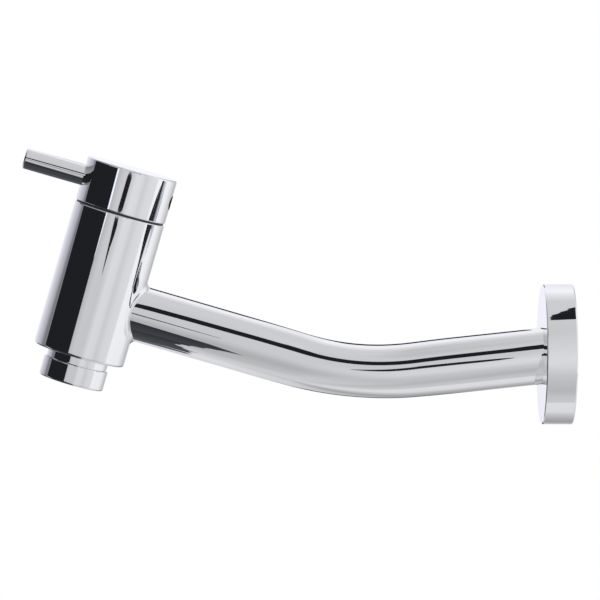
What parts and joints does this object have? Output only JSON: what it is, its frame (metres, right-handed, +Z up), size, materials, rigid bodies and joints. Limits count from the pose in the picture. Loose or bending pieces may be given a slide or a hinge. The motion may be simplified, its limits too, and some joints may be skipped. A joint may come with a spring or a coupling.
{
  "type": "wall-mounted tap",
  "caption": "Chrome wall tap with a bent tube arm, round cover flange, leaning round head, turning cap with a pin lever, ceramic disc headwork and an aerator.",
  "frame": {"origin": "centre of the inlet thread's mouth, in the wall plane, at the middle of the cover flange", "axes": "+Y into the wall and out of the inlet's mouth, -Y the way the tap reaches, +Z up, X across; the tap is symmetric about X = 0 apart from the grub screw"},
  "size_m": [0.053, 0.208, 0.1033],
  "materials": {
    "chrome": "polished chrome plating on brass",
    "brass": "turned brass, not plated",
    "stainless": "plain stainless steel",
    "seal_rubber": "moulded black rubber",
    "ceramic_white": "lapped alumina ceramic",
    "dark_plastic": "moulded dark acetal",
    "pale_plastic": "moulded pale acetal"
  },
  "bodies": {
    "tap": {"body_casing": "chrome", "arm_tube": "chrome", "wall_socket": "brass", "headwork_body": "brass", "headwork_washer": "seal_rubber", "fixed_disc": "ceramic_white", "seat_seal": "seal_rubber", "glide_ring": "dark_plastic", "aerator_housing": "chrome", "aerator_gasket": "seal_rubber", "aerator_cage": "pale_plastic", "aerator_screens": "stainless", "aerator_grid": "pale_plastic"},
    "handle": {"handle_cap": "chrome", "lever_pin": "chrome", "grub_screw": "stainless", "spindle": "brass", "spindle_clip": "stainless", "spindle_o_rings": "seal_rubber", "thrust_washer": "pale_plastic", "moving_disc": "ceramic_white"},
    "cover": {"cover_flange": "chrome", "flange_o_ring": "seal_rubber"}
  },
  "joints": [
    {"name": "handle_turn", "type": "hinge", "parent": "tap", "child": "handle", "pos_m": [0, -0.1807, 0.01944], "axis": [0, 0.2745, 0.9616], "range_deg": [0, 90]},
    {"name": "cover_slide", "type": "slide", "parent": "tap", "child": "cover", "axis": [0, -0.9938, -0.1108], "range_m": [0, 0.04]}
  ]
}
